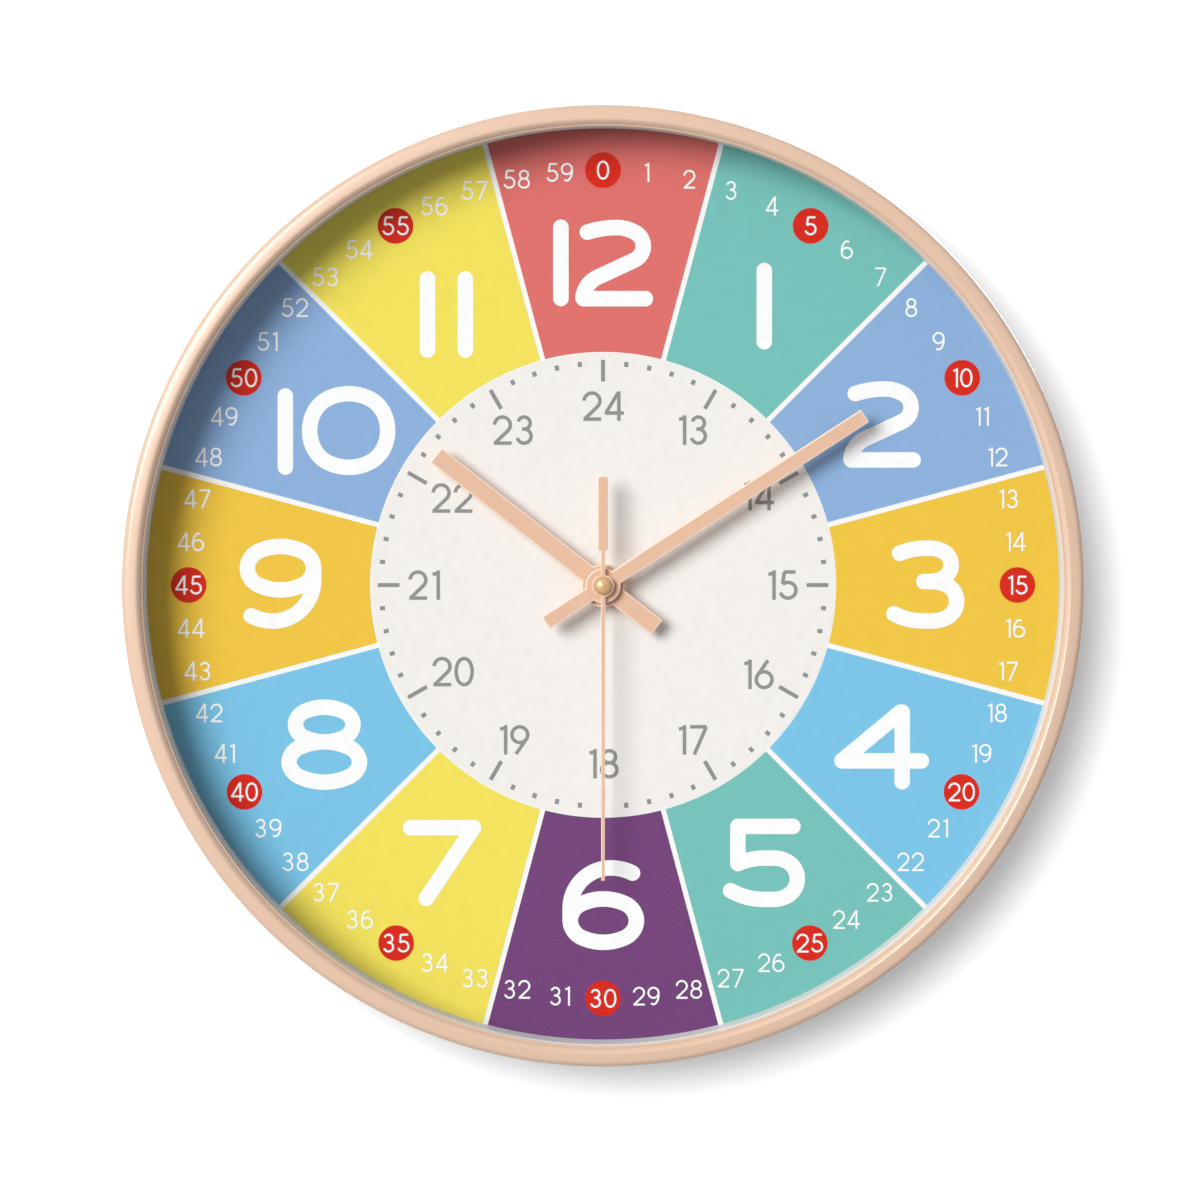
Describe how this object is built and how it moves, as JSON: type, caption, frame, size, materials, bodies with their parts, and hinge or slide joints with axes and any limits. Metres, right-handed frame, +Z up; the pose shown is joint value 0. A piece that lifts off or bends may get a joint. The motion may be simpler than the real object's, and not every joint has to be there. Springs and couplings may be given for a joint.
{
  "type": "wall clock",
  "caption": "round teaching wall clock with a rose frame, coloured hour sectors, minute numerals, slim hands and a battery quartz movement",
  "frame": {"origin": "on the axis of the hands, in the plane of the frame's rear rim, where the wall is", "axes": "+X to the right seen from the front, +Y out of the back towards the wall, +Z up to twelve"},
  "size_m": [0.3, 0.043, 0.3],
  "materials": {
    "rose_plastic": "satin",
    "clear_glass": "polished",
    "pale_plastic": "satin",
    "dial_card": "printed",
    "white_plastic": "fine grain",
    "zinc_steel": "zinc plated",
    "black_plastic": "fine grain",
    "bridge_plastic": "plain",
    "cushion_rubber": "matt",
    "brass": "polished",
    "soft_iron": "stamped",
    "copper_wire": "enamelled",
    "board": "laminate",
    "chip_resin": "potted",
    "bright_steel": "polished",
    "cell_wrap": "printed sleeve",
    "magnet": "sintered",
    "gear_plastic": "plain",
    "knob_plastic": "fluted",
    "rose_metal": "anodised"
  },
  "bodies": {
    "case": {"frame": "rose_plastic", "lens": "clear_glass", "spacer_ring": "pale_plastic", "dial_sheet": "dial_card", "back_plate": "white_plastic", "plate_screws": "zinc_steel", "hanger_plate": "zinc_steel", "hanger_screws": "zinc_steel", "movement_case": "black_plastic", "train_bridge": "bridge_plastic", "movement_cover": "black_plastic", "cushion_washer": "cushion_rubber", "mounting_washer": "brass", "mounting_nut": "brass", "stator": "soft_iron", "coil_core": "soft_iron", "coil_bobbin": "bridge_plastic", "coil_winding": "copper_wire", "circuit_board": "board", "driver_chip": "chip_resin", "quartz_crystal": "bright_steel", "positive_contact": "zinc_steel", "negative_contact": "zinc_steel"},
    "battery": {"battery_cell": "cell_wrap"},
    "rotor": {"rotor_magnet": "magnet", "rotor_pinion": "gear_plastic"},
    "intermediate": {"intermediate_wheel": "gear_plastic"},
    "second": {"second_wheel": "gear_plastic", "second_arbor": "bright_steel", "second_hand": "rose_metal", "second_collet": "brass", "hand_cap": "brass"},
    "third": {"third_wheel": "gear_plastic"},
    "centre": {"centre_wheel": "gear_plastic"},
    "minute": {"minute_arbor": "gear_plastic", "clutch_spring": "brass", "minute_hand": "rose_metal", "minute_collet": "brass"},
    "reduction": {"reduction_wheel": "gear_plastic"},
    "hour": {"hour_wheel": "gear_plastic", "hour_hand": "rose_metal", "hour_collet": "brass"},
    "setting": {"setting_pinion": "gear_plastic", "setting_knob": "knob_plastic"}
  },
  "joints": [
    {"name": "battery_pull", "type": "slide", "parent": "case", "child": "battery", "axis": [0, 1, 0], "range_m": [0, 0.02]},
    {"name": "second_turn", "type": "hinge", "parent": "case", "child": "second", "pos_m": [0, 0, 0], "axis": [0, 1, 0], "continuous": true},
    {"name": "intermediate_turn", "type": "hinge", "parent": "case", "child": "intermediate", "pos_m": [0.0054, 0, 0.00935], "axis": [0, 1, 0], "continuous": true},
    {"name": "rotor_turn", "type": "hinge", "parent": "case", "child": "rotor", "pos_m": [-0.00369, 0, 0.0146], "axis": [0, 1, 0], "continuous": true},
    {"name": "third_turn", "type": "hinge", "parent": "case", "child": "third", "pos_m": [-0.0102, 0, 0], "axis": [0, 1, 0], "continuous": true},
    {"name": "centre_turn", "type": "hinge", "parent": "case", "child": "centre", "pos_m": [0, 0, 0], "axis": [0, 1, 0], "continuous": true},
    {"name": "minute_turn", "type": "hinge", "parent": "case", "child": "minute", "pos_m": [0, 0, 0], "axis": [0, 1, 0], "continuous": true},
    {"name": "reduction_turn", "type": "hinge", "parent": "case", "child": "reduction", "pos_m": [0.0096, 0, 0], "axis": [0, 1, 0], "continuous": true},
    {"name": "hour_turn", "type": "hinge", "parent": "case", "child": "hour", "pos_m": [0, 0, 0], "axis": [0, 1, 0], "continuous": true},
    {"name": "setting_turn", "type": "hinge", "parent": "case", "child": "setting", "pos_m": [0.01895, 0, 0.0054], "axis": [0, 1, 0], "continuous": true}
  ],
  "couplings": [
    {"joint": "intermediate_turn", "follows": "second_turn", "ratio": -5},
    {"joint": "rotor_turn", "follows": "second_turn", "ratio": 30},
    {"joint": "third_turn", "follows": "second_turn", "ratio": -0.13333},
    {"joint": "centre_turn", "follows": "second_turn", "ratio": 0.016667},
    {"joint": "reduction_turn", "follows": "minute_turn", "ratio": -0.33333},
    {"joint": "hour_turn", "follows": "minute_turn", "ratio": 0.083333},
    {"joint": "setting_turn", "follows": "minute_turn", "ratio": 0.66667}
  ]
}
